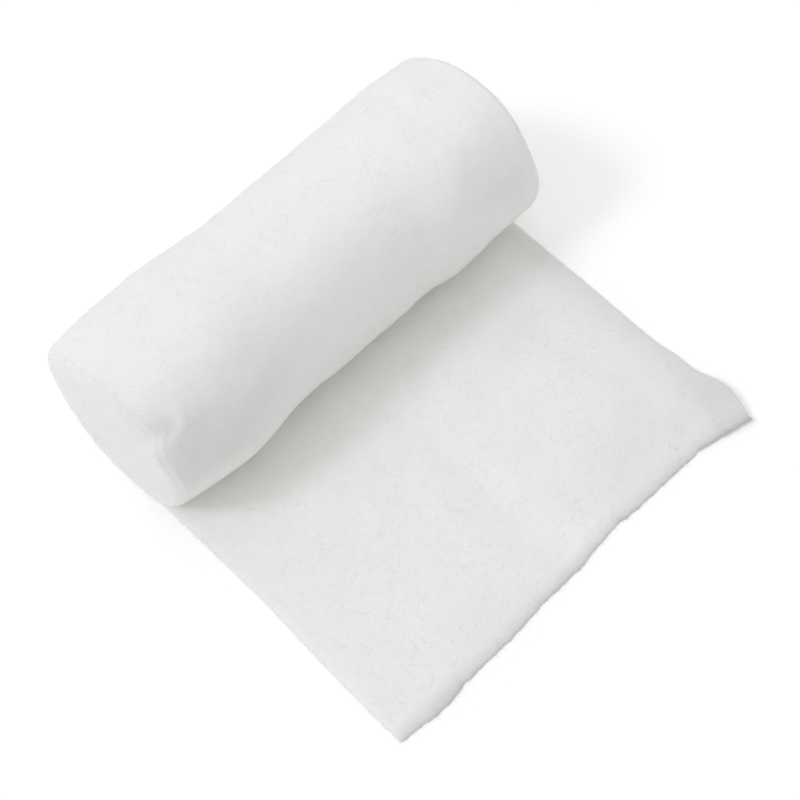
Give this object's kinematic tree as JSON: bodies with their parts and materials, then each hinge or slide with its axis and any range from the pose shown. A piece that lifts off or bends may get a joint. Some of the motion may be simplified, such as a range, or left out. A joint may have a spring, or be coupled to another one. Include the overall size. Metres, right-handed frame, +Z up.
{
  "type": "cast padding roll",
  "caption": "Soft white padding strip wound into a coreless roll, with its outer end laid out flat in front of it.",
  "frame": {"origin": "under the middle of the part's box, on the surface that it lies on", "axes": "+Z up, +X along the roll's axis, -Y the way the loose end reaches"},
  "size_m": [0.1594, 0.1582, 0.0622],
  "materials": {
    "padding": "matte fibrous white wadding"
  },
  "bodies": {
    "root": {"padding_roll": "padding"}
  },
  "joints": []
}
